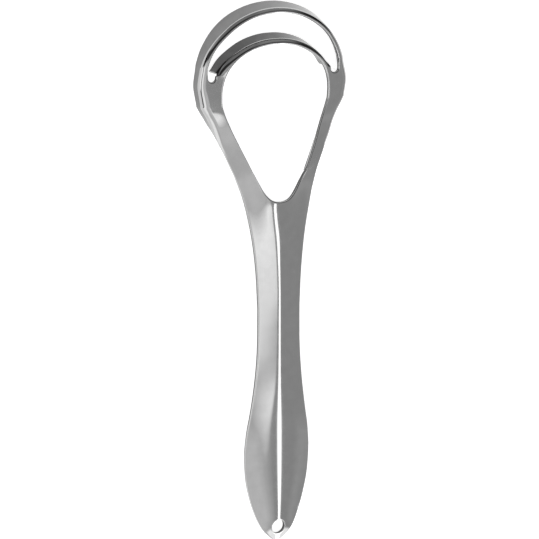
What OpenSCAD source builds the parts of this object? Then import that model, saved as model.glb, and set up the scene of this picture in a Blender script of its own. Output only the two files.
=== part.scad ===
// Tongue scraper: one stamped and bent sheet of stainless steel, in millimetres.
// The long axis is Y with the head at +Y, X runs across, and both scraping edges and
// the tail rest on the plane Z = 0. The sheet is given as seven zones that meet face to face:
// the handle, two arms, two cheeks and the two curved blades.

/* [Overall] */
// Length from the tail to the outermost scraping edge
total_l = 150; // [135:1:170]
// Thickness of the steel sheet
sheet_t = 1.2; // [1:0.1:1.4]
// Height of the plate above the scraping edges, at the middle of the head
head_h = 4.35; // [4:0.05:5.5]

/* [Head] */
// Radius of the outer scraping edge at its front, from the middle of the head
edge_r = 26.65; // [26:0.05:28]
// Radius of the opening at its front, from the middle of the head
opening_r = 15.4; // [14.4:0.1:16]
// Length of the opening along the centre line
opening_l = 42.2; // [38:0.1:48]
// Distance from the middle of the head to the bend of each cheek
cheek_x = 19.5; // [19:0.1:20.4]
// Radius of the round end of the slot
slot_end_r = 1.2; // [0.9:0.1:1.4]

/* [Bends] */
// Angle through which each blade is bent down at its middle
blade_angle = 72; // [68:1:78]
// Outside radius of the bend of each blade
bend_r = 1.5; // [1.45:0.05:1.7]
// Outside radius of the bend along each cheek
cheek_bend_r = 2.1; // [1.8:0.1:2.4]
// Flat strip between the rim of the sheet and the bend of each blade
strip_w = 0.15; // [0.1:0.05:0.5]

/* [Handle] */
// Width of the leaf near the tail
leaf_w = 20.3; // [16:0.1:26]
// Width of the waist in front of the leaf
waist_w = 12.9; // [10:0.1:15]
// Height of the ridge above the line of the plate
ridge_h = 2.3; // [1.6:0.1:3]
// Fall from the ridge to the margin of the waist
waist_crown = 0.3; // [0.2:0.05:0.8]
// Fall from the ridge to the margin of the leaf
leaf_crown = 1.2; // [0.8:0.1:1.5]
// Fall of each arm from its inner rim to its margin
arm_fall = 2; // [1.4:0.1:2.4]
// Diameter of the hanging hole
hole_d = 4; // [3:0.1:4.4]
// Distance from the tail to the middle of the hanging hole
hole_inset = 4.1; // [3.9:0.1:6]

/* [Hidden] */
$fn = 48;

// Every cut runs past the sheet by this much
overrun = 1;
// Length of sheet between the end of the handle's zone and the opening
bridge_l = 1.2;

// Rings along each zone, and steps across its sheet
handle_rings = 44;
arm_rings = 34;
cheek_rings = 9;
blade_rings = 46;
plate_steps = 7;
bend_steps = 7;

// Angles from the centre line: where the blades end, and where the slot's round end lies
cheek_angle = 62.5;
slot_end_angle = 66.9;
side_angle = 90;

// Shares by the angle from the centre line
// Radius of the opening, of its front radius
opening_shares = [[0, 1], [12, 1.012], [21, 1.027], [33, 1.053], [46, 1.081], [60, 1.094],
    [72, 1.074], [82, 1.046], [90, 1.026]];
// Radius of the slot's outer rim, of its front radius
rim_shares = [[0, 1], [18, 1], [32, 0.991], [45, 0.979], [54, 0.964], [62.5, 0.939]];
// Radius of the outer scraping edge, of its front radius
edge_shares = [[0, 1], [15, 0.999], [30, 0.994], [42, 0.975], [51, 0.95], [59, 0.922], [62.5, 0.907],
    [66, 0.89], [69.5, 0.879], [76, 0.865], [82.7, 0.84], [90, 0.814]];
// How far each blade has gone from its angle at the middle to upright
outer_steep_shares = [[0, 0], [35, 0.02], [45, 0.22], [52, 0.4], [60, 0.65], [72, 0.78], [90, 0.82]];
inner_steep_shares = [[0, 0], [30, 0.1], [45, 0.3], [54, 0.55], [62.5, 0.88]];
// Flat strip that is added beside the inner bend near its ends, of the bend's radius
inner_strip_shares = [[0, 0], [40, 0], [54, 0.28], [62.5, 0.55]];
// How late the bend of the cheek leaves the line of the blade's bend: 1 is evenly
late_bend_share = 4;
// How far the bend has gone from the radius of the blades to that of the cheeks
round_shares = [[0, 0], [40, 0], [70, 0.6], [90, 1]];

// Shares by the root of the way from the tail to the middle of the head
leaf_root = 0.47;
waist_root = 0.74;
arm_root = 0.935;
// Width of the straight margin along the edges of the handle, of its half width
margin_share = 0.14;
// Half width from the tail to the leaf, of half the leaf
tail_side_shares = [[0, 0.06], [0.04, 0.12], [0.103, 0.25], [0.156, 0.413], [0.217, 0.587],
    [0.249, 0.67], [0.289, 0.767], [0.32, 0.835], [0.378, 0.945], [0.43, 0.992], [0.47, 1]];
// Half width from the leaf (1) to the waist (0)
waist_side_shares = [[0.47, 1], [0.5145, 0.841], [0.5525, 0.597], [0.588, 0.386], [0.6216, 0.214],
    [0.653, 0.095], [0.6837, 0.022], [0.74, 0]];
// Half width without the margin, from the waist (0) to the cheek's bend (1)
arm_side_shares = [[0.74, 0], [0.7935, 0.0375], [0.843, 0.1235], [0.89, 0.278], [0.912, 0.398],
    [0.934, 0.556], [0.9555, 0.713], [0.966, 0.7635], [0.977, 0.811], [0.987, 0.876], [0.9945, 0.948],
    [1, 1]];
// Height of the ridge and of the arms' inner rim over the line of the plate, of the ridge's height
rise_shares = [[0, 0.4], [0.05, 0.46], [0.11, 0.62], [0.18, 0.82], [0.25, 0.95], [0.32, 1], [0.6, 1.02],
    [0.88, 1.02], [0.905, 0.98], [0.935, 0.8], [0.955, 0.52], [0.976, 0.16], [0.99, 0.02], [1, 0]];
// Fall to the margin: of the leaf's crown, then from the waist's crown (0) to the arm's fall (1),
// then of the arm's fall
leaf_fall_shares = [[0, 0], [0.15, 0.2], [0.25, 0.85], [0.33, 1.03], [0.4286, 1], [0.47, 0.94]];
waist_fall_shares = [[0.47, 0.94], [0.5145, 0.69], [0.5525, 0.43], [0.588, 0.24], [0.64, 0.06],
    [0.7, 0], [0.74, 0]];
arm_fall_shares = [[0.74, 0], [0.80, 0.08], [0.843, 0.25], [0.875, 0.46], [0.895, 0.68], [0.92, 0.95],
    [0.935, 1]];
cheek_fall_shares = [[0.935, 1], [0.952, 0.9], [0.966, 0.6], [0.98, 0.22], [0.992, 0.02], [1, 0]];
// Width of the rounded crest, of the half width
crest_shares = [[0, 0.9], [0.47, 0.9], [0.6, 0.35], [0.74, 0.22], [0.8, 0.25], [0.86, 0.45], [0.885, 0.5],
    [0.91, 0.2], [0.94, 0.06], [1, 0.05]];
// Turn and width of the lip along the arms, of the cheek's
lip_turn_shares = [[0, 0], [0.94, 0], [0.958, 0.22], [0.972, 0.6], [0.982, 0.88], [0.99, 0.98], [1, 1]];
lip_width_shares = [[0, 0], [0.945, 0], [0.96, 0.12], [0.972, 0.4], [0.982, 0.78], [0.99, 0.95], [1, 1]];
// Inner rim of the arms by the root of the way along it, of the opening's radius
inside_shares = [[0, 0], [0.13, 0.15], [0.24, 0.245], [0.34, 0.326], [0.43, 0.398], [0.55, 0.514],
    [0.65, 0.611], [0.74, 0.712], [0.82, 0.804], [0.88, 0.877], [0.95, 0.969], [1, 1.026]];
// Spacing of the rings along the arms, closer together at the end of the opening
arm_spacing_share = 1.6;

// Smooth curve through rows of [place, value], held level beyond its ends
function slope(rows, i) =
    let (a = max(i - 1, 0), b = min(i + 1, len(rows) - 1))
    (rows[b][1] - rows[a][1]) / (rows[b][0] - rows[a][0]);
function row_at(rows, at, i = 0) =
    i >= len(rows) - 2 || at < rows[i + 1][0] ? i : row_at(rows, at, i + 1);
function curve(rows, at) =
    let (i = row_at(rows, at))
    let (gap = rows[i + 1][0] - rows[i][0], u = min(max((at - rows[i][0]) / gap, 0), 1))
    let (rise = rows[i + 1][1] - rows[i][1])
    let (p = slope(rows, i) * gap, q = slope(rows, i + 1) * gap)
    rows[i][1] + u * (p + u * (3 * rise - 2 * p - q + u * (p + q - 2 * rise)));
function mix(a, b, share) = a + (b - a) * share;
function steps(count) = [for (i = [0:count]) i / count];

// A bend in section: the point at a developed distance from its start, as [across, down],
// where the sheet's top follows a radius r through an angle turn and then runs straight
function turned(along, r, turn) = min(along / r * 180 / PI, turn);
function bent(along, r, turn) =
    let (angle = turned(along, r, turn), rest = along - r * angle * PI / 180)
    [r * sin(angle) + rest * cos(angle), r * (1 - cos(angle)) + rest * sin(angle)];
// Developed width of a lip that reaches down by a given depth, and how far across it then reaches
function lip_for(depth, r, turn) = r * turn * PI / 180 + (depth - r * (1 - cos(turn))) / sin(turn);
function reach(depth, r, turn) = bent(lip_for(depth, r, turn), r, turn)[0];
// Points down the top of a lip and back up its under side, on a plate that already falls by an angle
function spin(p, angle) = [p[0] * cos(angle) - p[1] * sin(angle), p[0] * sin(angle) + p[1] * cos(angle)];
function lip(width, trim, r, turn, fall) =
    let (under = width - trim)
    concat(
        [for (u = steps(bend_steps)) spin(bent(width * u, r, turn), fall)],
        [for (i = [bend_steps:-1:0])
            let (along = under * i / bend_steps, angle = turned(along, r, turn))
            spin(bent(along, r, turn) + sheet_t * [-sin(angle), cos(angle)], fall)]
    );

// The plate is a plane that rises from the tail to the front of the head
half_l = total_l / 2;
middle_y = half_l - edge_r;
tail_top = ridge_h * rise_shares[0][1];
pitch_slope = (head_h + tail_top - sheet_t) / (middle_y + half_l);
function plate_z(y) = head_h + pitch_slope * (y - middle_y);

// Radii of the head at an angle from the centre line
function steep(rows, angle) = mix(blade_angle, side_angle, curve(rows, angle));
function head_round(angle) = mix(bend_r, cheek_bend_r, curve(round_shares, angle));
function opening_at(angle) = opening_r * curve(opening_shares, angle);
function edge_at(angle) = edge_r * curve(edge_shares, angle);
function reach_from(r, angle) =
    reach(plate_z(middle_y + r * cos(angle)), head_round(angle), steep(outer_steep_shares, angle));
function outer_reach(angle) = reach_from(edge_at(angle) - reach_from(edge_at(angle), angle), angle);
rim_r = edge_r - outer_reach(0) - strip_w;
function rim_at(angle) = rim_r * curve(rim_shares, angle);
function blade_fold_at(angle) = max(edge_at(angle) - outer_reach(angle), rim_at(angle) + strip_w / 2);
cheek_step = blade_fold_at(cheek_angle) - edge_at(cheek_angle) + outer_reach(cheek_angle);
function outer_fold_at(angle) =
    let (way = (angle - cheek_angle) / (side_angle - cheek_angle))
    angle <= cheek_angle ? blade_fold_at(angle)
    : mix(edge_at(angle) - outer_reach(angle) + cheek_step, cheek_x, pow(way, late_bend_share));
function inner_fold_at(angle) = opening_at(angle) + strip_w + bend_r * curve(inner_strip_shares, angle);

// Ring round the sheet in the upright plane at an angle from the centre line
function head_ring(start, fold, angle, r, turn) =
    let (fold_z = plate_z(middle_y + fold * cos(angle)))
    let (bend = lip(lip_for(fold_z, r, turn), sheet_t / tan(turn), r, turn, 0))
    let (flat = [for (i = [0:plate_steps - 1]) mix(start, fold, i / plate_steps)])
    let (place = function (at, z) [at * sin(angle), middle_y + at * cos(angle), z])
    let (plate = function (at, down) place(at, plate_z(middle_y + at * cos(angle)) - down))
    concat(
        [for (at = flat) plate(at, 0)],
        [for (p = bend) place(fold + p[0], fold_z - p[1])],
        [for (i = [plate_steps - 1:-1:0]) plate(flat[i], sheet_t)]
    );
function outer_ring(start, angle) =
    let (side = abs(angle))
    head_ring(start, outer_fold_at(side), angle, head_round(side), steep(outer_steep_shares, side));
function inner_ring(angle) =
    let (side = abs(angle))
    head_ring(opening_at(side), inner_fold_at(side), angle, bend_r, steep(inner_steep_shares, side));

// Places along the handle and the arms, by the root of the way from the tail to the middle of the head
opening_end_y = middle_y + opening_r - opening_l;
join_y = opening_end_y - bridge_l;
function station_y(root) = mix(-half_l, middle_y, root * root);
function root_of(y) = sqrt((y + half_l) / (middle_y + half_l));
function half_at(root) =
    root < leaf_root ? leaf_w / 2 * curve(tail_side_shares, root)
    : mix(waist_w / 2, leaf_w / 2, curve(waist_side_shares, root));
function side_at(root) =
    root < waist_root ? half_at(root) * (1 - margin_share)
    : mix(waist_w / 2 * (1 - margin_share), cheek_x, curve(arm_side_shares, root));
function margin_at(root) = margin_share * (root < waist_root ? half_at(root) : waist_w / 2);
function fall_at(root) =
    root < leaf_root ? leaf_crown * curve(leaf_fall_shares, root)
    : root < waist_root ? mix(waist_crown, leaf_crown, curve(waist_fall_shares, root))
    : root < arm_root ? mix(waist_crown, arm_fall, curve(arm_fall_shares, root))
    : arm_fall * curve(cheek_fall_shares, root);
function inside_at(y) =
    y <= opening_end_y ? 0
    : opening_r * curve(inside_shares, sqrt((y - opening_end_y) / (middle_y - opening_end_y)));
function crown(share, crest) = share < crest ? share * share / (2 * crest) : share - crest / 2;

// Half ring round the sheet in the upright plane at a distance along the object
function side_ring(y) =
    let (root = root_of(y), inside = inside_at(y), side = side_at(root), crest = curve(crest_shares, root))
    let (top = plate_z(y) + ridge_h * curve(rise_shares, root), scale = fall_at(root) / crown(1, crest))
    let (steepness = function (v) atan(scale * min(v / crest, 1) / (side - inside)))
    let (width = mix(margin_at(root), cheek_lip, curve(lip_width_shares, root)))
    let (turn = cheek_turn * curve(lip_turn_shares, root), trim = cheek_trim * curve(lip_width_shares, root))
    let (bend = lip(width, trim, cheek_bend_r, turn, steepness(1)))
    let (flat = [for (i = [0:plate_steps - 1]) let (v = i / plate_steps, fall = steepness(v))
        [mix(inside, side, v), top - scale * crown(v, crest), sheet_t * sin(fall), sheet_t * cos(fall)]])
    concat(
        [for (p = flat) [p[0], y, p[1]]],
        [for (p = bend) [side + p[0], y, top - fall_at(root) - p[1]]],
        [for (i = [plate_steps - 1:-1:0]) let (p = flat[i]) [p[0] - p[2], y, p[1] - p[3]]]
    );
cheek_turn = steep(outer_steep_shares, side_angle);
cheek_trim = sheet_t / tan(cheek_turn);
cheek_lip = lip_for(head_h, cheek_bend_r, cheek_turn);
// Whole ring, from the left edge over the ridge to the right edge and back under the sheet
function whole_ring(y) =
    let (half = side_ring(y), count = len(half) / 2)
    concat(
        [for (i = [count - 1:-1:1]) [-half[i][0], y, half[i][2]]],
        [for (i = [0:2 * count - 1]) half[i]],
        [for (i = [2 * count - 2:-1:count]) [-half[i][0], y, half[i][2]]]
    );

// Closed skin over rings that run along the sheet's top and back along its under side
module skin(rings) {
    size = len(rings[0]);
    half = size / 2;
    last = (len(rings) - 1) * size;
    sides = [for (k = [0:len(rings) - 2], i = [0:size - 1])
        let (a = k * size + i, b = k * size + (i + 1) % size)
        each [[a, a + size, b], [b, a + size, b + size]]];
    ends = [for (i = [0:half - 2])
        let (a = i, b = i + 1, c = size - 2 - i, d = size - 1 - i)
        each [[a, b, c], [a, c, d], [last + c, last + b, last + a], [last + d, last + c, last + a]]];
    polyhedron(points = [for (ring = rings) each ring], faces = concat(sides, ends));
}

steel = "#b9bcbf";

module handle() {
    join_root = root_of(join_y);
    color(steel) difference() {
        skin([for (u = steps(handle_rings)) whole_ring(station_y(join_root * u))]);
        translate([0, -half_l + hole_inset, -overrun])
            cylinder(d = hole_d, h = head_h + ridge_h + 2 * overrun);
    }
}

module right_arm() {
    color(steel) skin(concat([side_ring(join_y)], [for (u = steps(arm_rings))
        side_ring(mix(opening_end_y, middle_y, pow(u, arm_spacing_share)))]));
}

module left_arm() {
    mirror([1, 0, 0]) right_arm();
}

module right_cheek() {
    slot_end_x = rim_at(cheek_angle) * sin(cheek_angle) - slot_end_r;
    color(steel) difference() {
        skin([for (u = steps(cheek_rings))
            let (angle = mix(side_angle, cheek_angle, u)) outer_ring(opening_at(angle), angle)]);
        translate([slot_end_x, middle_y + slot_end_x / tan(slot_end_angle), -overrun]) {
            cylinder(r = slot_end_r, h = head_h + 2 * overrun);
            translate([-slot_end_r, 0, 0])
                cube([2 * slot_end_r, 4 * slot_end_r, head_h + 2 * overrun]);
        }
    }
}

module left_cheek() {
    mirror([1, 0, 0]) right_cheek();
}

module outer_blade() {
    color(steel) skin([for (u = steps(blade_rings))
        let (angle = mix(cheek_angle, -cheek_angle, u)) outer_ring(rim_at(abs(angle)), angle)]);
}

module inner_blade() {
    color(steel) skin([for (u = steps(blade_rings)) inner_ring(mix(cheek_angle, -cheek_angle, u))]);
}

handle();
left_arm();
right_arm();
left_cheek();
right_cheek();
outer_blade();
inner_blade();
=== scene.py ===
import logging
import math
from collections.abc import Iterator
from dataclasses import dataclass, field
from enum import Enum
from itertools import product

import bpy
import numpy as np
from mathutils import Matrix, Vector


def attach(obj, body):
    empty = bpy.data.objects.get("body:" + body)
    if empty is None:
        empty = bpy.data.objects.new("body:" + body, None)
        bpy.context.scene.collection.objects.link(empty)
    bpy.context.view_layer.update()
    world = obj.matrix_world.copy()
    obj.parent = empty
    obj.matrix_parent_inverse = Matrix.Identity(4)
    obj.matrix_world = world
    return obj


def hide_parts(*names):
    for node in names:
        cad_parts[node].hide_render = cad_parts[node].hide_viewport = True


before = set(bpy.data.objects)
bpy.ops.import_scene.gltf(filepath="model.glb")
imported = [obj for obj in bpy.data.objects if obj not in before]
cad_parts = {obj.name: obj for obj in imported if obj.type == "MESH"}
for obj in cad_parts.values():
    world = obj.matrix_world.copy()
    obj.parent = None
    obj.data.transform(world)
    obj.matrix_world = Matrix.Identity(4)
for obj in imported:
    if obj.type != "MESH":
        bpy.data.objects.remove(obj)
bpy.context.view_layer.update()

LOG = logging.getLogger("tongue_scraper")
MM = 0.001
# Angle at which the arms join the head, in degrees from the centre line
BESIDE = 90.0
# Largest share of a row that its fixed first and last steps may take
MOST_AT_ENDS = 0.8
Real = float | np.ndarray
Pair = tuple[float, float]
Rows = tuple[Pair, ...]
Place = tuple[float, float, float]
Cell = tuple[int, int, int]
Sides = tuple[np.ndarray, np.ndarray]
Source = float | tuple[float, ...] | bpy.types.NodeSocket


class Node(Enum):
    """The zones of the sheet in the construction that the finished skin stands for."""

    HANDLE = "handle"
    LEFT_ARM = "left_arm"
    RIGHT_ARM = "right_arm"
    LEFT_CHEEK = "left_cheek"
    RIGHT_CHEEK = "right_cheek"
    OUTER_BLADE = "outer_blade"
    INNER_BLADE = "inner_blade"


class FinishAndShade(Enum):
    """The finishes of the sheet and the painted shade of its lips and cut walls, in the order of the
    piece's materials.
    """

    POLISH = 0
    CUT = 1
    LIP = 2
    INNER_LIP = 3
    LIP_END = 4


class Profile:
    """A smooth curve through given places, held level beyond its ends."""

    STEPS = 1600

    def __init__(self, rows: Rows, softness: float) -> None:
        """Sample the curve once and soften its joints.

        Args:
            rows: place and value of each point that the curve passes.
            softness: width of the softening, as a share of the curve's length.
        """
        x, y = np.asarray(rows, float).T
        last = len(x) - 1
        low, high = np.maximum(np.arange(last + 1) - 1, 0), np.minimum(np.arange(last + 1) + 1, last)
        slope = (y[high] - y[low]) / (x[high] - x[low])
        self.places = np.linspace(x[0], x[-1], self.STEPS + 1)
        i = np.clip(np.searchsorted(x, self.places, side="right") - 1, 0, last - 1)
        gap = x[i + 1] - x[i]
        u = (self.places - x[i]) / gap
        rise, p, q = y[i + 1] - y[i], slope[i] * gap, slope[i + 1] * gap
        values = y[i] + u * (p + u * (3 * rise - 2 * p - q + u * (p + q - 2 * rise)))
        kernel = np.hanning(2 * int(self.STEPS / 2 * softness) + 3)
        pad = len(kernel)
        head = 2 * values[0] - values[pad:0:-1]
        tail = 2 * values[-1] - values[-2:-pad - 2:-1]
        padded = np.concatenate([head, values, tail])
        self.values = np.convolve(padded, kernel / kernel.sum(), "same")[pad:-pad]

    def __call__(self, at: Real) -> Real:
        """Value of the curve at one or more places."""
        return np.interp(at, self.places, self.values)


def curve(*rows: Pair, softness: float = 0.05) -> Profile:
    """Default of a class's field: the profile through the given places and values."""
    return field(default_factory=lambda: Profile(rows, softness))


def mix(a: Real, b: Real, share: Real) -> Real:
    """The value that lies the given share of the way from a to b."""
    return a + (b - a) * share


def smooth(share: Real) -> Real:
    """Ease a share from 0 to 1 without a corner at either end."""
    share = np.clip(share, 0, 1)
    return share * share * (3 - 2 * share)


def bent(along: Real, radius: Real, turn: Real) -> tuple[Real, Real, Real]:
    """A bend in section.

    Args:
        along: developed distance from the start of the bend.
        radius: radius of the bend's outer face.
        turn: full angle of the bend, in radians.

    Returns:
        How far across and how far down the outer face lies there, and its angle.
    """
    angle = np.minimum(along / radius, turn)
    rest = along - radius * angle
    across = radius * np.sin(angle) + rest * np.cos(angle)
    return across, radius * (1 - np.cos(angle)) + rest * np.sin(angle), angle


def lip_for(depth: Real, radius: Real, turn: Real) -> Real:
    """Developed width of a lip that reaches down by the given depth."""
    return radius * turn + (depth - radius * (1 - np.cos(turn))) / np.sin(turn)


def spaced(length: Real, count: int, first: float = 0.0, last: float = 0.0) -> np.ndarray:
    """Shares of a row, with fixed first and last steps where they are given.

    Args:
        length: developed length of the row, one or many.
        count: number of steps.
        first: length of the first step, or 0 for an even one.
        last: length of the last step, or 0 for an even one.

    Returns:
        Shares from 0 to 1 along the last axis.
    """
    length = np.asarray(length, float)[..., None]
    limit = MOST_AT_ENDS / 2 if first and last else MOST_AT_ENDS
    a, b = (np.minimum(step / length, limit) for step in (first, last))
    even = np.linspace(0, 1, count + 1 - bool(first) - bool(last))
    ends = [np.zeros_like(length)] * bool(first), [np.ones_like(length)] * bool(last)
    return np.concatenate([*ends[0], a + (1 - a - b) * even, *ends[1]], -1)


def between(start: Real, end: Real, count: int, first: float = 0.0, last: float = 0.0) -> np.ndarray:
    """Rows from one line to another, with fixed first and last steps where they are given.

    Args:
        start: developed distance of the first row, one or many.
        end: developed distance of the last row.
        count: number of steps.
        first: length of the first step, or 0 for an even one.
        last: length of the last step, or 0 for an even one.

    Returns:
        Developed distances of the rows, along the last axis.
    """
    start, end = np.asarray(start, float), np.asarray(end, float)
    return mix(start[..., None], end[..., None], spaced(end - start, count, first, last))


def points(x: Real, y: Real) -> np.ndarray:
    """Points from their two places, either of which may be the same for all."""
    return np.stack(np.broadcast_arrays(x, y), -1)


def walk(x: np.ndarray, y: np.ndarray, share: np.ndarray) -> np.ndarray:
    """Points that lie the given shares of the way along a line.

    Args:
        x: first places of the line's points.
        y: their second places.
        share: shares of the line's length.

    Returns:
        One point for each share.
    """
    length = np.concatenate([[0], np.cumsum(np.hypot(np.diff(x), np.diff(y)))])
    at = share * length[-1]
    return points(np.interp(at, length, x), np.interp(at, length, y))


def grid(rim: np.ndarray, border: np.ndarray, share: np.ndarray) -> Sides:
    """First and second places of a grid between two lines of points.

    Args:
        rim: points of the first line.
        border: points of the last line, one for each point of the first.
        share: shares of the way between them, one row for each pair of points.

    Returns:
        The first places and the second places of the grid's points.
    """
    made = mix(rim[:, None], border[:, None], share[..., None])
    return made[..., 0], made[..., 1]


@dataclass
class Sheet:
    """The bent sheet as a surface: every place on it by its distances along and across the blank.

    Sizes are in millimetres and angles in degrees, from the centre line round the middle of the
    head. The root of a place is the square root of its share of the way from the tail to the middle
    of the head, so that a profile by root follows the round tail.
    """

    # Sizes
    total_l: float = 150.0
    thickness: float = 1.2
    head_h: float = 4.35
    edge_r: float = 26.65
    opening_r: float = 15.4
    opening_l: float = 42.2
    cheek_x: float = 19.48
    slot_end_r: float = 1.2
    blade_angle: float = 72.0
    upright: float = 90.0
    bend_r: float = 1.5
    cheek_bend_r: float = 2.1
    strip_w: float = 0.15
    leaf_w: float = 20.3
    waist_w: float = 12.9
    ridge_h: float = 2.3
    waist_crown: float = 0.3
    leaf_crown: float = 1.2
    arm_fall: float = 1.75
    cheek_angle: float = 62.5
    cheek_power: int = 4
    slot_end_angle: float = 66.9
    least_angle: float = 1.0
    leaf_root: float = 0.47
    waist_root: float = 0.74
    arm_root: float = 0.935
    margin_share: float = 0.14
    neck_run: float = 9.0
    arch_h: float = 0.2
    arch_root: float = 0.955
    arch_run: float = 0.045
    fold_run: float = 0.4

    # Shares of the head's radii, of its bends and of its arch, by angle
    opening_share: Profile = curve(
        (0, 1), (12, 1.012), (21, 1.027), (33, 1.053), (46, 1.081), (60, 1.094), (72, 1.074), (82, 1.046),
        (90, 1.026))
    rim_share: Profile = curve((0, 1), (18, 1), (32, 0.991), (45, 0.979), (54, 0.964), (62.5, 0.939))
    edge_share: Profile = curve(
        (0, 1), (15, 0.999), (30, 0.994), (42, 0.975), (51, 0.95), (59, 0.922), (62.5, 0.907), (66, 0.89),
        (69.5, 0.879), (76, 0.865), (82.7, 0.84), (90, 0.814))
    outer_steep: Profile = curve(
        (0, 0), (35, 0.02), (45, 0.22), (52, 0.4), (60, 0.65), (72, 0.78), (90, 0.82))
    inner_steep: Profile = curve((0, 0), (30, 0.1), (45, 0.3), (54, 0.55), (62.5, 0.88), (66, 0.9))
    inner_strip: Profile = curve(
        (0, 0), (40, 0), (54, 0.28), (60, 0.49), (62.5, 0.75), (64, 1.2), (66, 2.3), (70, 4))
    round_share: Profile = curve((0, 0), (40, 0), (70, 0.6), (90, 1))
    arch: Profile = curve((0, 0), (57, 0), (62, 0.5), (67, 1), (90, 1))

    # Outlines of the tail, the waist and the arms by root, and of the opening by its own root
    tail_side: Profile = curve(
        (0, 0.06), (0.04, 0.12), (0.103, 0.25), (0.156, 0.413), (0.217, 0.587), (0.249, 0.67),
        (0.289, 0.767), (0.32, 0.835), (0.378, 0.945), (0.43, 0.992), (0.47, 1))
    waist_side: Profile = curve(
        (0.47, 1), (0.5145, 0.841), (0.5525, 0.597), (0.588, 0.386), (0.6216, 0.214), (0.653, 0.095),
        (0.6837, 0.022), (0.74, 0))
    arm_side: Profile = curve(
        (0.74, 0), (0.7935, 0.0375), (0.843, 0.1235), (0.89, 0.278), (0.912, 0.398), (0.934, 0.556),
        (0.9555, 0.713), (0.966, 0.7635), (0.977, 0.811), (0.987, 0.876), (0.9945, 0.948), (1, 1))
    inside_share: Profile = curve(
        (0, 0), (0.13, 0.15), (0.24, 0.245), (0.34, 0.326), (0.43, 0.398), (0.55, 0.514), (0.65, 0.611),
        (0.74, 0.712), (0.82, 0.804), (0.88, 0.877), (0.95, 0.969), (1, 1.026))

    # Height of the ridge, and fall from it to the margins, by root
    rise: Profile = curve(
        (0, 0.4), (0.05, 0.46), (0.11, 0.62), (0.18, 0.82), (0.25, 0.95), (0.32, 1), (0.6, 1.02),
        (0.88, 0.97), (0.905, 0.89), (0.935, 0.69), (0.955, 0.42), (0.976, 0.12), (0.99, 0.02), (1, 0),
        softness=0.02)
    leaf_fall: Profile = curve((0, 0), (0.15, 0.2), (0.25, 0.85), (0.33, 1.03), (0.4286, 1), (0.47, 0.94))
    waist_fall: Profile = curve(
        (0.47, 0.94), (0.5145, 0.69), (0.5525, 0.43), (0.588, 0.24), (0.64, 0.06), (0.7, 0), (0.74, 0))
    arm_fall_share: Profile = curve(
        (0.74, 0), (0.80, 0.08), (0.843, 0.25), (0.875, 0.46), (0.895, 0.68), (0.92, 0.95), (0.935, 1))
    cheek_fall: Profile = curve((0.935, 1), (0.952, 0.9), (0.966, 0.6), (0.98, 0.22), (0.992, 0.02), (1, 0))
    crest: Profile = curve(
        (0, 0.9), (0.47, 0.9), (0.6, 0.25), (0.72, 0.13), (0.8, 0.17), (0.86, 0.45), (0.885, 0.62),
        (0.91, 0.2), (0.94, 0.06), (1, 0.05))
    lip_turn: Profile = curve(
        (0, 0), (0.92, 0), (0.94, 0), (0.958, 0.22), (0.972, 0.6), (0.982, 0.88), (0.99, 0.98), (1, 1),
        softness=0.01)
    lip_width: Profile = curve(
        (0, 0), (0.945, 0), (0.96, 0.12), (0.972, 0.4), (0.982, 0.78), (0.99, 0.95), (1, 1), softness=0.01)

    # Unevenness from hand polishing, by place along the sheet and, for the folds, by angle
    ridge_lean: Profile = curve(
        (-4, 0), (4, 0.012), (12, 0.026), (17, 0.058), (21, 0.085), (25, 0.05), (29, 0))
    rim_drift: Profile = curve(
        (8, 0), (16, 0.14), (22, 0.56), (26, 0.62), (30, 0.4), (34, 0.28), (38, 0.14), (41, -0.02),
        (47, -0.09), (51, -0.06), (55, 0))
    fold_drift: Profile = curve(
        (-82, 0), (-72, -0.3), (-62, -0.45), (-50, -0.4), (-36, 0), (36, 0), (44, -0.25), (50, -0.5),
        (58, -0.7), (68, -0.72), (74, -0.5), (80, -0.12), (84, 0), softness=0.02)

    def __post_init__(self) -> None:
        """Work out the levels and radii that follow from the sizes."""
        cheek = self.cheek_angle
        self.half_l: float = self.total_l / 2
        self.middle_y: float = self.half_l - self.edge_r
        tail_top = self.ridge_h * float(self.rise(0.0))
        self.pitch: float = (self.head_h + tail_top - self.thickness) / (self.middle_y + self.half_l)
        self.opening_end_y: float = self.middle_y + self.opening_r - self.opening_l
        self.rim_r: float = self.edge_r - float(self.outer_reach(0.0)) - self.strip_w
        self.cheek_step: float = float(self.blade_fold(cheek) - self.edge(cheek) + self.outer_reach(cheek))
        self.slot_x: float = float(self.rim(cheek)) * math.sin(math.radians(cheek)) - self.slot_end_r
        self.slot_y: float = self.middle_y + self.slot_x / math.tan(math.radians(self.slot_end_angle))

    def plate_z(self, y: Real) -> Real:
        """Height of the plate's top, which rises from the tail to the head."""
        return self.head_h + self.pitch * (y - self.middle_y)

    def level(self, radius: Real, angle: Real) -> Real:
        """Height of the plate's top at a distance and an angle from the middle of the head."""
        return self.plate_z(self.middle_y + radius * np.cos(np.radians(angle)))

    def opening(self, angle: Real) -> Real:
        """Radius of the opening's rim."""
        return self.opening_r * self.opening_share(np.abs(angle))

    def edge(self, angle: Real) -> Real:
        """Radius of the outer scraping edge."""
        return self.edge_r * self.edge_share(np.abs(angle))

    def rim(self, angle: Real) -> Real:
        """Radius of the slot's outer rim along the blades."""
        return self.rim_r * self.rim_share(np.abs(angle))

    def turned(self, steep: Real) -> Real:
        """Angle of a lip in radians, by its share of the way from a blade's angle to upright."""
        return np.radians(mix(self.blade_angle, self.upright, steep))

    def outer_turn(self, angle: Real) -> Real:
        """Angle of the outer lip, in radians."""
        return self.turned(self.outer_steep(np.abs(angle)))

    def inner_turn(self, angle: Real) -> Real:
        """Angle of the inner lip, in radians."""
        return self.turned(self.inner_steep(np.abs(angle)))

    def head_round(self, angle: Real) -> Real:
        """Outside radius of the outer bend."""
        return mix(self.bend_r, self.cheek_bend_r, self.round_share(np.abs(angle)))

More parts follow.
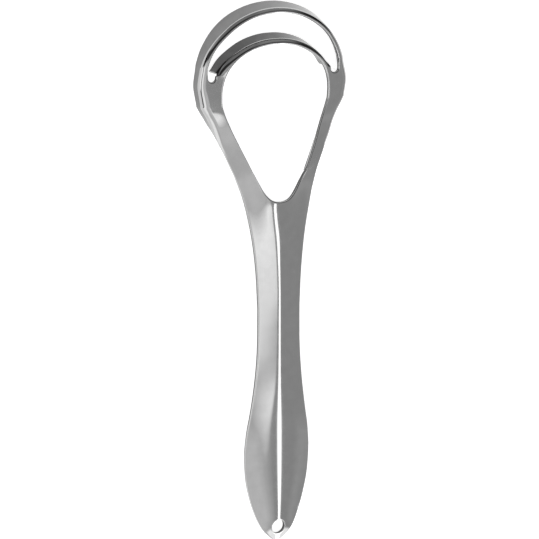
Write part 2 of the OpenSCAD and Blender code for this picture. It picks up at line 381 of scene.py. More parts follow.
    def reach_from(self, radius: Real, angle: Real) -> Real:
        """How far across the outer lip goes where it reaches down from the given radius."""
        turn, bend = self.outer_turn(angle), self.head_round(angle)
        return bent(lip_for(self.level(radius, angle), bend, turn), bend, turn)[0]

    def outer_reach(self, angle: Real) -> Real:
        """How far across the outer lip goes between its bend and its edge."""
        edge = self.edge(angle)
        return self.reach_from(edge - self.reach_from(edge, angle), angle)

    def blade_fold(self, angle: Real) -> Real:
        """Radius at which the outer blade starts to bend."""
        return np.maximum(self.edge(angle) - self.outer_reach(angle), self.rim(angle) + self.strip_w / 2)

    def outer_fold(self, angle: Real) -> Real:
        """Radius at which the outer lip starts to bend, on the blade or on a cheek.

        Args:
            angle: angles from the centre line.

        Returns:
            The radius at each angle.
        """
        side = np.abs(angle)
        way = np.clip((side - self.cheek_angle) / (BESIDE - self.cheek_angle), 0, 1)
        fold = self.edge(side) - self.outer_reach(side) + self.cheek_step
        cheek = mix(fold, self.cheek_x, way ** self.cheek_power)
        return np.where(side <= self.cheek_angle, self.blade_fold(side), cheek)

    def inner_fold(self, angle: Real) -> Real:
        """Radius at which the inner lip starts to bend."""
        return self.opening(angle) + self.strip_w + self.bend_r * self.inner_strip(np.abs(angle))

    def wall(self, across: float, side: Real) -> Real:
        """Radius at which a line along the sheet is met, by its distance from the centre line."""
        return across / np.sin(np.radians(np.maximum(side, self.least_angle)))

    def slot_outer(self, side: Real) -> Real:
        """Radius of the slot's outer side, along the blades and past their ends."""
        wall = self.wall(self.slot_x + self.slot_end_r, side)
        return np.where(side <= self.cheek_angle, self.rim(side), wall)

    def slot_inner(self, side: Real) -> Real:
        """Radius of the slot's inner side, along the inner blade and past its ends.

        Args:
            side: angles from the centre line, without their signs.

        Returns:
            The radius at each angle.
        """
        across, end = self.slot_x - self.slot_end_r, self.cheek_angle
        strip = self.wall(across, end) - self.opening(end)
        return np.where(side <= end, self.opening(side) + strip, self.wall(across, side))

    def outer_end(self, angle: Real) -> Real:
        """Developed distance of the outer scraping edge from the middle of the head."""
        fold = self.outer_fold(angle)
        return fold + lip_for(self.level(fold, angle), self.head_round(angle), self.outer_turn(angle))

    def inner_end(self, angle: Real) -> Real:
        """Developed distance of the inner scraping edge from the middle of the head."""
        fold = self.inner_fold(angle)
        return fold + lip_for(self.level(fold, angle), self.bend_r, self.inner_turn(angle))

    def on_head(self, angle: Real, along: Real, inner: bool | np.ndarray) -> Sides:
        """Points of the head's top and under side.

        Args:
            angle: angles from the centre line, positive to the right.
            along: developed distances from the middle of the head.
            inner: true where the place lies on the inner side of the slot.

        Returns:
            The top and the under points.
        """
        angle, along, inner = np.broadcast_arrays(np.asarray(angle, float), along, inner)
        fold = np.where(inner, self.inner_fold(angle), self.outer_fold(angle))
        bend = np.where(inner, self.bend_r, self.head_round(angle))
        turn = np.where(inner, self.inner_turn(angle), self.outer_turn(angle))
        width = lip_for(self.level(fold, angle), bend, turn)
        flat, past = np.minimum(along, fold), np.maximum(along - fold, 0)
        across, down, _ = bent(past, bend, turn)
        trimmed = past * (1 - self.thickness / np.tan(turn) / width)
        under_across, under_down, tilt = bent(trimmed, bend, turn)
        theta, rim = np.radians(angle), self.opening(angle)
        way = (along - rim) / (self.outer_fold(angle) - rim)
        off_lip = 1 - smooth(past / width)
        drift = self.rim_drift(self.middle_y + rim * np.cos(theta)) * (1 - smooth(way))
        drift = drift + self.fold_drift(angle) * smooth(way / self.fold_run) * np.where(inner, 1, off_lip)
        base = self.level(flat, angle)
        base = base - self.arch_h * self.arch(np.abs(angle)) * np.clip(way, 0, 1) * off_lip
        under_r = flat + under_across - self.thickness * np.sin(tilt)
        low = base - under_down - self.thickness * np.cos(tilt)
        return tuple(np.stack([r * np.sin(theta) + drift, self.middle_y + r * np.cos(theta), z], -1)
                     for r, z in ((flat + across, base - down), (under_r, low)))

    def root(self, y: Real) -> Real:
        """Root of a place along the centre line."""
        return np.sqrt(np.clip((y + self.half_l) / (self.middle_y + self.half_l), 0, 1))

    def place(self, root: Real) -> Real:
        """Place along the centre line, by its root."""
        return (self.middle_y + self.half_l) * root ** 2 - self.half_l

    def half(self, root: Real) -> Real:
        """Half width of the handle."""
        waist = mix(self.waist_w / 2, self.leaf_w / 2, self.waist_side(root))
        return np.where(root < self.leaf_root, self.leaf_w / 2 * self.tail_side(root), waist)

    def side(self, root: Real) -> Real:
        """Distance from the centre line at which the margin or the lip starts."""
        arm = mix(self.waist_w / 2 * (1 - self.margin_share), self.cheek_x, self.arm_side(root))
        return np.where(root < self.waist_root, self.half(root) * (1 - self.margin_share), arm)

    def side_lip(self) -> float:
        """Developed width of the lip where the arms join the head."""
        return lip_for(self.head_h, self.cheek_bend_r, float(self.outer_turn(BESIDE)))

    def lip(self, root: Real) -> Real:
        """Developed width of the margin or the lip."""
        half = np.where(root < self.waist_root, self.half(root), self.waist_w / 2)
        return mix(self.margin_share * half, self.side_lip(), self.lip_width(root))

    def outline(self, root: Real) -> Real:
        """Developed distance of the outer rim from the centre line."""
        return self.side(root) + self.lip(root)

    def fall(self, root: Real) -> Real:
        """Fall from the ridge or the inner rim to the margin.

        Args:
            root: roots of the places.

        Returns:
            The fall at each of them.
        """
        leaf = self.leaf_crown * self.leaf_fall(root)
        waist = mix(self.waist_crown, self.leaf_crown, self.waist_fall(root))
        arm = mix(self.waist_crown, self.arm_fall, self.arm_fall_share(root))
        return np.select([root < self.leaf_root, root < self.waist_root, root < self.arm_root],
                         [leaf, waist, arm], self.arm_fall * self.cheek_fall(root))

    def inside(self, y: Real) -> Real:
        """Distance of the opening's rim from the centre line."""
        way = np.clip((y - self.opening_end_y) / (self.middle_y - self.opening_end_y), 0, 1)
        return np.where(y <= self.opening_end_y, 0.0, self.opening_r * self.inside_share(np.sqrt(way)))

    def on_side(self, across: Real, y: Real) -> Sides:
        """Points of the top and the under side of the handle and the arms.

        Args:
            across: developed distances from the centre line, positive to the right.
            y: places along the centre line.

        Returns:
            The top and the under points.
        """
        across, y = np.broadcast_arrays(np.asarray(across, float), np.asarray(y, float))
        sign, away = np.where(across < 0, -1.0, 1.0), np.abs(across)
        root = self.root(y)
        inside = self.inside(y) * smooth((y - self.opening_end_y) / self.neck_run)
        side, lip, crest = self.side(root), self.lip(root), self.crest(root)
        flat, past = np.minimum(away, side), np.maximum(away - side, 0)
        way = np.clip((away - inside) / (side - inside), 0, 1)
        scale = self.fall(root) / (1 - crest / 2)
        drop = scale * np.where(way < crest, way * way / (2 * crest), way - crest / 2)
        slope = np.arctan(scale * np.minimum(way / crest, 1) / (side - inside))
        z = self.plate_z(y) + self.ridge_h * self.rise(root) - drop
        z = z - self.ridge_lean(y) * across * (1 - smooth(way))
        arch = self.arch_h * smooth((root - self.arch_root) / self.arch_run)
        z = z - arch * way * (1 - smooth(past / lip))
        drift = self.rim_drift(y) * (1 - smooth(way))
        steep = self.outer_turn(BESIDE)
        turn, trim = steep * self.lip_turn(root), self.thickness / np.tan(steep) * self.lip_width(root)
        out, down, _ = bent(past, self.cheek_bend_r, turn)
        under_out, under_down, tilt = bent(past * (1 - trim / lip), self.cheek_bend_r, turn)
        under_out = under_out - self.thickness * np.sin(tilt)
        under_down = under_down + self.thickness * np.cos(tilt)
        cos, sin = np.cos(slope), np.sin(slope)
        return tuple(np.stack([sign * (flat + a * cos - d * sin) + drift, y, z - a * sin - d * cos], -1)
                     for a, d in ((out, down), (under_out, under_down)))


def placed(name: str, data: bpy.types.ID) -> bpy.types.Object:
    """Put a mesh, a lamp or a camera into the scene.

    Args:
        name: name of the object.
        data: the mesh, the lamp or the camera.

    Returns:
        The object.
    """
    made = bpy.data.objects.new(name, data)
    bpy.context.scene.collection.objects.link(made)
    return made


@dataclass
class Skin:
    """Closed skin of the sheet, welded from patches that share their borders."""

    finishes_and_shades: list[bpy.types.Material]
    hole_y: float
    hole_r: float
    hole_margin: float = 0.1
    rim_round: float = 0.3
    rim_segments: int = 5
    edge_share: float = 0.5
    edge_level: float = 0.5
    cells_per_mm: int = 500
    cells: dict[Cell, int] = field(default_factory=dict)
    tops: list[np.ndarray] = field(default_factory=list)
    unders: list[np.ndarray] = field(default_factory=list)
    faces: list[tuple[int, ...]] = field(default_factory=list)
    kinds: list[int] = field(default_factory=list)

    def add(self, sides: Sides, lip_rows: int = 0, lip: FinishAndShade = FinishAndShade.LIP) -> None:
        """Weld one grid of top points and the grid of under points below it to the skin.

        Args:
            sides: the top and the under points.
            lip_rows: how many of the last rows are the face of a lip, which takes painted shade.
            lip: the material with the painted shade of that face.
        """
        top, under = sides
        rows, cols = top.shape[:2]
        index = [[self._weld(top[r, c], under[r, c]) for c in range(cols)] for r in range(rows)]
        flat = top[..., :2]
        a, b = flat[1:, 1:] - flat[:-1, :-1], flat[1:, :-1] - flat[:-1, 1:]
        reverse = (a[..., 0] * b[..., 1] - a[..., 1] * b[..., 0]).sum() < 0
        for r, c in product(range(rows - 1), range(cols - 1)):
            quad = [index[r][c], index[r][c + 1], index[r + 1][c + 1], index[r + 1][c]]
            face = tuple(dict.fromkeys(reversed(quad) if reverse else quad))
            if len(face) > 2:
                self.faces.append(face)
                self.kinds.append((lip if c >= cols - 1 - lip_rows else FinishAndShade.POLISH).value)

    def _weld(self, top: np.ndarray, under: np.ndarray) -> int:
        """Number of a point, which is a new one where none lies there yet.

        Args:
            top: the point on the top side.
            under: the point below it on the under side.

        Returns:
            The number of the point on either side.
        """
        cell = tuple(int(round(v * self.cells_per_mm)) for v in top)
        found = next((self.cells[near] for near in self._near(cell) if near in self.cells), None)
        if found is None:
            found = self.cells[cell] = len(self.tops)
            self.tops.append(top)
            self.unders.append(under)
        return found

    @staticmethod
    def _near(cell: Cell) -> Iterator[Cell]:
        """A cell of the weld grid, and then that cell with all that touch it."""
        yield cell
        yield from product(*((v - 1, v, v + 1) for v in cell))

    def mesh(self, name: str) -> bpy.types.Mesh:
        """Close the rims of the welded patches and mark them for rounding.

        Args:
            name: name of the mesh.

        Returns:
            A closed mesh in metres.
        """
        count = len(self.tops)
        edges = dict.fromkeys((a, b) for f in self.faces for a, b in zip(f, f[1:] + f[:1]))
        rims = [(a, b) for a, b in edges if (b, a) not in edges]
        walls = [(b, a, a + count, b + count) for a, b in rims]
        below = [tuple(v + count for v in reversed(f)) for f in self.faces]
        mesh = bpy.data.meshes.new(name)
        mesh.from_pydata((np.array(self.tops + self.unders) * MM).tolist(), [], self.faces + below + walls)
        mesh.update()
        # The walls take the cut edge's near-black tone, which is painted shade.
        mesh.polygons.foreach_set("material_index", self.kinds * 2 + [FinishAndShade.CUT.value] * len(walls))
        LOG.info("skin: %d points, %d faces, %d rim edges", 2 * count, len(mesh.polygons), len(rims))
        weights = mesh.attributes.new("bevel_weight_edge", "FLOAT", "EDGE")
        rounded = {frozenset((a + under, b + under)) for a, b in rims for under in (0, count)}
        for edge in mesh.edges:
            if frozenset(edge.vertices) in rounded:
                weights.data[edge.index].value = self._rounding(self.tops[edge.vertices[0] % count])
        return mesh

    def _rounding(self, point: np.ndarray) -> float:
        """Share of the full rounding that a rim takes.

        Args:
            point: a top point of the rim.

        Returns:
            A smaller share at the hanging hole and at the scraping edges, or 1.
        """
        x, y, z = point
        at_hole = math.hypot(x, y - self.hole_y) < self.hole_r + self.hole_margin
        return self.edge_share if at_hole or (z < self.edge_level and y > 0) else 1.0

    def build(self, name: str) -> bpy.types.Object:
        """Make the welded skin and round its rims.

        Args:
            name: name of the piece.

        Returns:
            The finished object, with plain geometry.
        """
        rough = placed(name + "_rough", self.mesh(name + "_rough"))
        for made in self.finishes_and_shades:
            rough.data.materials.append(made)
        bevel = rough.modifiers.new("rims", "BEVEL")
        bevel.limit_method = "WEIGHT"
        bevel.width = self.rim_round * MM
        bevel.segments = self.rim_segments
        bevel.use_clamp_overlap = False
        bevel.loop_slide = True
        bevel.material = FinishAndShade.POLISH.value
        bpy.context.view_layer.update()
        depsgraph = bpy.context.evaluated_depsgraph_get()
        made = bpy.data.meshes.new_from_object(rough.evaluated_get(depsgraph))
        made.name = name
        bpy.data.objects.remove(rough)
        made.polygons.foreach_set("use_smooth", [True] * len(made.polygons))
        return placed(name, made)


@dataclass
class Layout:
    """How the rows of the grid are spread over the sheet."""

    sheet: Sheet
    rim_step: float = 0.46
    inner_rows: int = 5
    middle_rows: int = 10
    bend_rows: int = 14
    face_rows: int = 4
    # Rows above the outer blade's lip face that also take the lips' painted shade
    lip_shade_rows: int = 2
    slot_rows: int = 5
    handle_rows: int = 40
    slot_side_steps: int = 9
    slot_from: float = 76.0
    slot_to: float = 63.6
    first_share: float = 0.22
    first_gap: float = 1.25
    first_from: float = 66.0
    second_steps: float = 1.25
    second_from: float = 67.0
    least_bend: float = 0.4
    face_steps: float = 1.3

    def arm_rows(self, y: Real) -> np.ndarray:
        """Developed distances of all rows across an arm.

        Args:
            y: places along the arm.

        Returns:
            One line of distances per place.
        """
        s, root = self.sheet, self.sheet.root(y)
        inside, side, lip, end = s.inside(y), s.side(root), s.lip(root), s.outline(root)
        least, most = self.least_bend * (lip - self.rim_step), lip - self.face_steps * self.rim_step
        turn = s.outer_turn(BESIDE) * s.lip_turn(root)
        first = mix(inside, side, self.first_share)
        bend_end = side + np.clip(s.cheek_bend_r * turn, least, most)
        return np.concatenate([
            between(inside, first, self.inner_rows, first=self.rim_step),
            between(first, side, self.middle_rows)[..., 1:],
            between(side, bend_end, self.bend_rows)[..., 1:],
            between(bend_end, end, self.face_rows, last=self.rim_step)[..., 1:]], -1)

    def first_line(self, angle: Real) -> Real:
        """Distance of the row line on the inner side of the slot.

        Args:
            angle: angles from the centre line.

        Returns:
            The distance at each angle.
        """
        s, side = self.sheet, np.abs(angle)
        cheek = mix(s.opening(side), s.outer_fold(side), self.first_share)
        share = smooth((side - self.first_from) / (BESIDE - self.first_from))
        return mix(s.opening(side) + self.first_gap, cheek, share)

    def second_line(self, angle: Real) -> Real:
        """Distance of the row line on the outer side of the slot.

        Args:
            angle: angles from the centre line.

        Returns:
            The distance at each angle.
        """
        side = np.abs(angle)
        blade = self.sheet.slot_outer(side) + self.second_steps * self.rim_step
        share = smooth((side - self.second_from) / (self.slot_from - self.second_from))
        return mix(blade, self.sheet.outer_fold(side), share)

    def opening_rows(self, angle: Real) -> np.ndarray:
        """Developed distances of the rows from the opening to the first row line."""
        start, end = self.sheet.opening(angle), self.first_line(angle)
        return between(start, end, self.inner_rows, first=self.rim_step)

    def lip_rows(self, angle: Real) -> np.ndarray:
        """Developed distances of the rows from the second row line to the outer edge.

        Args:
            angle: angles from the centre line.

        Returns:
            One line of distances per angle.
        """
        s = self.sheet
        bend_end = s.outer_fold(angle) + s.head_round(angle) * s.outer_turn(angle)
        bend = between(self.second_line(angle), bend_end, self.bend_rows)
        face = between(bend_end, s.outer_end(angle), self.face_rows, last=self.rim_step)
        return np.concatenate([bend, face[..., 1:]], -1)


@dataclass
class Handle:
    """The crowned leaf and waist, with the hanging hole near the tail."""

    sheet: Sheet
    layout: Layout
    hole_d: float = 4.0
    hole_inset: float = 4.1
    hole_rows: int = 8
    hole_step: float = 0.5
    tail_y: float = -65.5
    tail_steps: int = 26
    tail_step: float = 0.6
    even_share: float = 0.35
    neck_gap: float = 3.6
    stations: int = 110

    def across(self, y: Real) -> np.ndarray:
        """Developed distances of the rows across the handle, from left to right."""
        half = self.sheet.outline(self.sheet.root(y))
        return between(-half, half, self.layout.handle_rows, self.layout.rim_step, self.layout.rim_step)

    def hole_y(self) -> float:
        """Place of the middle of the hanging hole."""
        return self.hole_inset - self.sheet.half_l

    def neck_y(self) -> float:
        """Place at which the handle's rows meet those of the neck."""
        return self.sheet.opening_end_y - self.neck_gap

    def tail_line(self) -> np.ndarray:
        """Border of the patch round the hanging hole.

        Returns:
            The points of the handle's last row and of the tail's outline, the first one twice.
        """
        root = np.linspace(float(self.sheet.root(self.tail_y)), 0, self.tail_steps + 1)
        half, y = self.sheet.outline(root), self.sheet.place(root)
        row = points(self.across(self.tail_y), self.tail_y)
        return np.concatenate([row, points(half, y)[1:], points(-half, y)[::-1][:-1], row[:1]])

    def hole_line(self, border: np.ndarray) -> np.ndarray:
        """Rim of the hanging hole, with a point towards each point of the border.

        Args:
            border: points of the border, the first one twice.

        Returns:
            The points of the rim, in the same order.
        """
        centre = np.array([0.0, self.hole_y()])
        offset = border[:-1] - centre
        angle = np.unwrap(np.arctan2(offset[:, 1], offset[:, 0]))
        even = angle[0] + np.linspace(0, -2 * math.pi, len(angle) + 1)[:-1]
        angle = mix(angle, even, self.even_share)
        angle = np.append(angle, angle[0] - 2 * math.pi)
        return centre + self.hole_d / 2 * points(np.cos(angle), np.sin(angle))

    def build(self, skin: Skin) -> None:
        """Add the handle's grid and the patch round the hanging hole.

        Args:
            skin: the skin that they are welded to.
        """
        y = np.linspace(self.tail_y, self.neck_y(), self.stations)
        skin.add(self.sheet.on_side(self.across(y), y[:, None]))
        border = self.tail_line()
        circle = self.hole_line(border)
        length = np.linalg.norm(border - circle, axis=-1)
        share = spaced(length, self.hole_rows, self.hole_step, self.tail_step)
        skin.add(self.sheet.on_side(*grid(circle, border, share)))


@dataclass
class Neck:
    """The fork of the sheet round the closed end of the opening."""

    sheet: Sheet
    layout: Layout
    handle: Handle
    top_y: float = 33.0
    side_steps: int = 26
    side_share: float = 0.33
    even_share: float = 0.3
    samples: int = 2001
    rim_step: float = 0.5
    border_step: float = 0.62
    blend_share: float = 0.8

    def rim_line(self, count: int) -> np.ndarray:
        """Rim of the opening round its closed end, from left to right.

        Args:
            count: number of steps.

        Returns:
            The points of the rim.
        """
        way = np.linspace(-1, 1, self.samples)
        rim_y = mix(self.sheet.opening_end_y, self.top_y, way ** 2)
        share = np.interp(
            np.arange(count + 1), [0, self.side_steps, count - self.side_steps, count],
            [0, self.side_share, 1 - self.side_share, 1])
        share = mix(share, np.linspace(0, 1, count + 1), self.even_share)
        rim = walk(np.sign(way) * self.sheet.inside(rim_y), rim_y, share)
        rim[:, 0] = np.sign(rim[:, 0]) * self.sheet.inside(rim[:, 1])
        return rim

    def border_line(self) -> np.ndarray:
        """Outlines of the neck and the first row of the handle between them, from left to right.

        Returns:
            The points of the border.
        """
        low = self.handle.neck_y()
        y = mix(self.top_y, low, np.linspace(0, 1, self.side_steps + 1))[:-1]
        half = self.sheet.outline(self.sheet.root(y))
        row = points(self.handle.across(low), low)
        return np.concatenate([points(-half, y), row, points(half, y)[::-1]])

    def build(self, skin: Skin) -> None:
        """Add the grid between the opening's rim and the outlines of the neck.

        Args:
            skin: the skin that it is welded to.
        """
        border = self.border_line()
        rim = self.rim_line(len(border) - 1)
        arm = self.layout.arm_rows(self.top_y)
        on_arm = (arm - arm[0]) / (arm[-1] - arm[0])
        length = np.linalg.norm(border - rim, axis=-1)
        even = spaced(length, len(arm) - 1, self.rim_step, self.border_step)
        step = np.arange(len(border))
        inward = smooth(np.minimum(step, step[::-1]) / (self.blend_share * self.side_steps))
        skin.add(self.sheet.on_side(*grid(rim, border, mix(on_arm, even, inward[:, None]))))


@dataclass
class Arms:
    """The two arms between the neck and the cheeks."""

    sheet: Sheet
    layout: Layout
    neck: Neck
    stations: int = 44

    def build(self, skin: Skin) -> None:
        """Add one grid for each arm.

        Args:
            skin: the skin that they are welded to.
        """
        y = np.linspace(self.neck.top_y, self.sheet.middle_y, self.stations)
        across = self.layout.arm_rows(y)
        for sign in (1.0, -1.0):
            # The arms' lip faces take painted shade that runs out from the polish's tone towards the head.
            skin.add(self.sheet.on_side(sign * across, y[:, None]), self.layout.face_rows, FinishAndShade.LIP_END)


@dataclass
class Cheeks:
    """The flat cheeks of the head, with their deep lips and the round ends of the slot."""

    sheet: Sheet
    layout: Layout
    stations: int = 12
    samples: int = 200
    mean_radius: float = 20.0

    def slot_rim(self) -> np.ndarray:
        """Places round the slot's end, from its inner to its outer side.

        Returns:
            Angle and distance of each place.
        """
        s, rows = self.sheet, self.layout
        turn = np.linspace(math.pi, 2 * math.pi, self.samples)
        x = s.slot_x + s.slot_end_r * np.array([-1.0, *np.cos(turn), 1.0])
        inner_y, outer_y = s.middle_y + x[[0, -1]] / math.tan(math.radians(rows.slot_to))
        y = np.array([inner_y, *(s.slot_y + s.slot_end_r * np.sin(turn)), outer_y])
        x, y = walk(x, y, np.linspace(0, 1, 2 * rows.slot_side_steps + rows.middle_rows + 1)).T
        return points(np.degrees(np.arctan2(x, y - s.middle_y)), np.hypot(x, y - s.middle_y))

    def slot_border(self, beside: np.ndarray) -> np.ndarray:
        """Places round the patch at the slot's end, from its inner to its outer side.

        Args:
            beside: angles beside the slot's end, from the arm towards the blades.

        Returns:
            Angle and distance of each place.
        """
        rows, up = self.layout, beside[::-1]
        cross = between(rows.first_line(up[-1]), rows.second_line(up[-1]), rows.middle_rows)
        first, second = points(up, rows.first_line(up)), points(beside, rows.second_line(beside))
        return np.concatenate([first, points(up[-1], cross[1:-1]), second])

    def build(self, skin: Skin) -> None:
        """Add the grids of both cheeks.

        Args:
            skin: the skin that they are welded to.
        """
        s, rows = self.sheet, self.layout
        low = np.linspace(BESIDE, rows.slot_from, self.stations)
        beside = np.linspace(rows.slot_from, rows.slot_to, rows.slot_side_steps + 1)
        middle = between(rows.first_line(low), rows.second_line(low), rows.middle_rows)
        rim, border = self.slot_rim(), self.slot_border(beside)
        gap = border - rim
        span = np.hypot(gap[:, 1], np.radians(gap[:, 0]) * self.mean_radius)
        angles, along = grid(rim, border, spaced(span, rows.slot_rows, first=rows.rim_step))
        on_inner = np.arange(len(rim))[:, None] <= len(rim) // 2
        for sign in (1.0, -1.0):
            for angle in (low, beside):
                at = sign * angle[:, None]
                skin.add(s.on_head(at, rows.opening_rows(angle), True))
                # The last rows of the cheeks' lips take the lips' painted shade.
                skin.add(s.on_head(at, rows.lip_rows(angle), False), rows.face_rows)
            skin.add(s.on_head(sign * low[:, None], middle, False))
            skin.add(s.on_head(sign * angles, along, on_inner))


@dataclass
class Blades:
    """The two curved blades and the crescent slot between them."""

    sheet: Sheet
    layout: Layout
    stations: int = 110
    end_steps: int = 3
    # Rows of the strip beside the slot that take the inner blade's painted shade
    strip_shade_rows: int = 2

    def angles(self) -> np.ndarray:
        """Angles of the stations, among them both ends of the inner blade.

        Returns:
            The angles from left to right.
        """
        end = self.sheet.cheek_angle
        side = np.linspace(end, self.layout.slot_to, self.end_steps + 1)[1:]
        return np.concatenate([-side[::-1], np.linspace(-end, end, self.stations), side])

    def build(self, skin: Skin) -> None:
        """Add the grids of the outer and the inner blade.

        Args:
            skin: the skin that they are welded to.
        """
        s, rows = self.sheet, self.layout
        angle = self.angles()
        side, at = np.abs(angle), angle[:, None]
        outer = between(s.slot_outer(side), rows.second_line(angle), rows.slot_rows, first=rows.rim_step)
        skin.add(s.on_head(at, outer, False))
        # The outer blade's lip face and the rows above it take the lips' painted shade.
        skin.add(s.on_head(at, rows.lip_rows(angle), False), rows.face_rows + rows.lip_shade_rows)
        skin.add(s.on_head(at, rows.opening_rows(angle), True))
        slot = s.slot_inner(side)
        inner = between(rows.first_line(angle), slot, rows.slot_rows, last=rows.rim_step)
        # The last rows of the strip and the whole face of the inner blade take its painted shade.
        skin.add(s.on_head(at, inner, True), self.strip_shade_rows, FinishAndShade.INNER_LIP)
        tab, steps = side <= s.cheek_angle, rows.face_rows + 1
        face = between(slot[tab], s.inner_end(angle[tab]), steps, last=rows.rim_step)
        skin.add(s.on_head(at[tab], face, True), steps, FinishAndShade.INNER_LIP)


@dataclass(frozen=True)
class Graph:
    """The nodes of one material or of the world."""

    tree: bpy.types.NodeTree

    def feed(self, node: bpy.types.Node, inputs: dict[str | int, Source]) -> None:
        """Give inputs of a node their constants or their sources.

        Args:
            node: the node.
            inputs: number, colour or source of each input, by its name or its place.
        """
        for key, source in inputs.items():
            if isinstance(source, bpy.types.NodeSocket):
                self.tree.links.new(source, node.inputs[key])
            else:
                node.inputs[key].default_value = source

    def put(self, kind: str, inputs: dict[str | int, Source] | None = None) -> bpy.types.Node:
        """Add a node.

        Args:
            kind: type of the node, without the words that all types start with.
            inputs: what its inputs are given.

        Returns:
            The node.
        """
        node = self.tree.nodes.new("ShaderNode" + kind)
        self.feed(node, inputs or {})
        return node

    def maths(self, operation: str, *sources: Source) -> bpy.types.NodeSocket:
        """Result of a sum, a product or the like.

        Args:
            operation: name of the operation.
            sources: what goes into it.

        Returns:
            The socket with the result.
        """
        node = self.put("Math", dict(enumerate(sources)))
        node.operation = operation
        return node.outputs[0]

    def span(self, source: Source, start: Pair, end: Pair, kind: str = "LINEAR") -> bpy.types.NodeSocket:
        """Bring a value from one range to another.

        Args:
            source: the value.
            start: its least and its greatest value.
            end: what these two become.
            kind: how the values between them follow.

        Returns:
            The socket with the result.
        """
        node = self.put("MapRange", {
            "Value": source, "From Min": start[0], "From Max": start[1],
            "To Min": end[0], "To Max": end[1]})
        node.interpolation_type = kind
        return node.outputs["Result"]

    def ramp(self, source: Source, rows: Rows, ends: Pair = (-1.0, 1.0)) -> bpy.types.NodeSocket:
        """Level by a value, eased between listed places.

        Args:
            source: the value.
            rows: place and level of each stop.
            ends: values at the start and the end of the ramp.

        Returns:
            The socket with the level.
        """
        low, high = ends
        top = max(level for _, level in rows)
        node = self.put("ValToRGB", {"Fac": self.span(source, ends, (0.0, 1.0))})
        node.color_ramp.interpolation = "EASE"
        stops = node.color_ramp.elements
        stops[0].position = (rows[0][0] - low) / (high - low)
        stops[1].position = (rows[-1][0] - low) / (high - low)
        for at, _ in rows[1:-1]:
            stops.new((at - low) / (high - low))
        for stop, (_, level) in zip(stops, rows):
            stop.color = (level / top, level / top, level / top, 1)
        return self.maths("MULTIPLY", node.outputs["Color"], top)


def surface(name: str) -> tuple[bpy.types.Material, Graph, bpy.types.Node]:
    """Make a material.

    Args:
        name: name of the material.

    Returns:
        The material, its nodes and its shader.
    """
    made = bpy.data.materials.new(name)
    made.use_nodes = True
    return made, Graph(made.node_tree), made.node_tree.nodes["Principled BSDF"]


@dataclass(frozen=True)
class RunOut:
    """A stretch along the sheet in which a lip's painted shade, raised to the polish's tone, comes down to
    its own.
    """

    start: float = 41.0
    end: float = 47.5
    gain: float = 2.33


@dataclass(frozen=True)
class Steel:
    """Stainless steel with the faint unevenness that its working leaves."""

    name: str = "polished_steel"
    base: float = 0.42
    spread: float = 0.012
    roughness: float = 0.07
    run_out: RunOut | None = None
    grain_scale: float = 420.0
    grain_detail: float = 3.0
    grain_range: Pair = (0.3, 0.7)
    rougher: Pair = (0.8, 1.25)

    def material(self) -> bpy.types.Material:
        """Make the finish as a node material.

        Returns:
            The material, all of whose variation is procedural.
        """
        made, graph, shader = surface(self.name)
        place = graph.put("TexCoord").outputs["Object"]
        grain = graph.put("TexNoise", {
            "Vector": place, "Scale": self.grain_scale, "Detail": self.grain_detail}).outputs["Fac"]
        ramp = graph.put("ValToRGB", {"Fac": grain})
        levels = (self.base - self.spread, self.base + self.spread)
        for stop, at, level in zip(ramp.color_ramp.elements, self.grain_range, levels):
            stop.position = at
            stop.color = (level, level, level, 1)
        tone = ramp.outputs["Color"]
        low, high = (self.roughness * share for share in self.rougher)
        graph.feed(shader, {
            "Metallic": 1.0,
            "Base Color": self._run_out(graph, place, tone) if self.run_out else tone,
            "Roughness": graph.span(grain, (0.0, 1.0), (low, high))})
        return made

    def _run_out(self, graph: Graph, place: Source, tone: Source) -> bpy.types.NodeSocket:
        """Tone of a lip's painted shade that runs out into the polish along the sheet.

        Args:
            graph: the material's nodes.
            place: the place on the object.
            tone: the painted shade's own tone.

        Returns:
            The socket with the tone at each place.
        """
        stretch = (self.run_out.start * MM, self.run_out.end * MM)
        along = graph.put("SeparateXYZ", {"Vector": place}).outputs["Y"]
        gain = graph.span(along, stretch, (self.run_out.gain, 1.0), "SMOOTHSTEP")
        return graph.maths("MULTIPLY", tone, gain)


@dataclass(frozen=True)
class PaperFloor:
    """White paper under the object, plain white to the eye and in the metal."""

    size: float = 900.0
    gap: float = 0.02
    glow: float = 0.8
    colour: float = 0.76
    spread: float = 0.01
    grain_scale: float = 300.0
    roughness: float = 0.9

    def paper(self) -> bpy.types.Material:
        """Make the paper, which glows for the eye and for what mirrors it.

        Returns:
            The material.
        """
        made, graph, shader = surface("white_paper")
        grain = graph.put("TexNoise", {"Scale": self.grain_scale}).outputs["Fac"]
        path = graph.put("LightPath").outputs
        mirrored = graph.maths("MAXIMUM", path["Is Glossy Ray"], path["Is Transmission Ray"])
        seen = graph.maths("MAXIMUM", path["Is Camera Ray"], mirrored)
        tones = (self.colour - self.spread, self.colour + self.spread)
        graph.feed(shader, {
            "Roughness": self.roughness,
            "Specular IOR Level": 0.0,
            "Emission Color": (1, 1, 1, 1),
            "Base Color": graph.span(grain, (0.0, 1.0), tones),
            "Emission Strength": graph.maths("MULTIPLY", seen, self.glow)})
        return made

    def build(self) -> bpy.types.Object:
        """Make the floor as a square of white paper.

        Returns:
            The floor.
        """
        half = self.size / 2 * MM
        mesh = bpy.data.meshes.new("floor")
        corners = [(-half, -half, 0), (half, -half, 0), (half, half, 0), (-half, half, 0)]
        mesh.from_pydata(corners, [], [(0, 1, 2, 3)])
        mesh.materials.append(self.paper())
        floor = placed("floor", mesh)
        floor.location.z = -self.gap * MM
        return floor


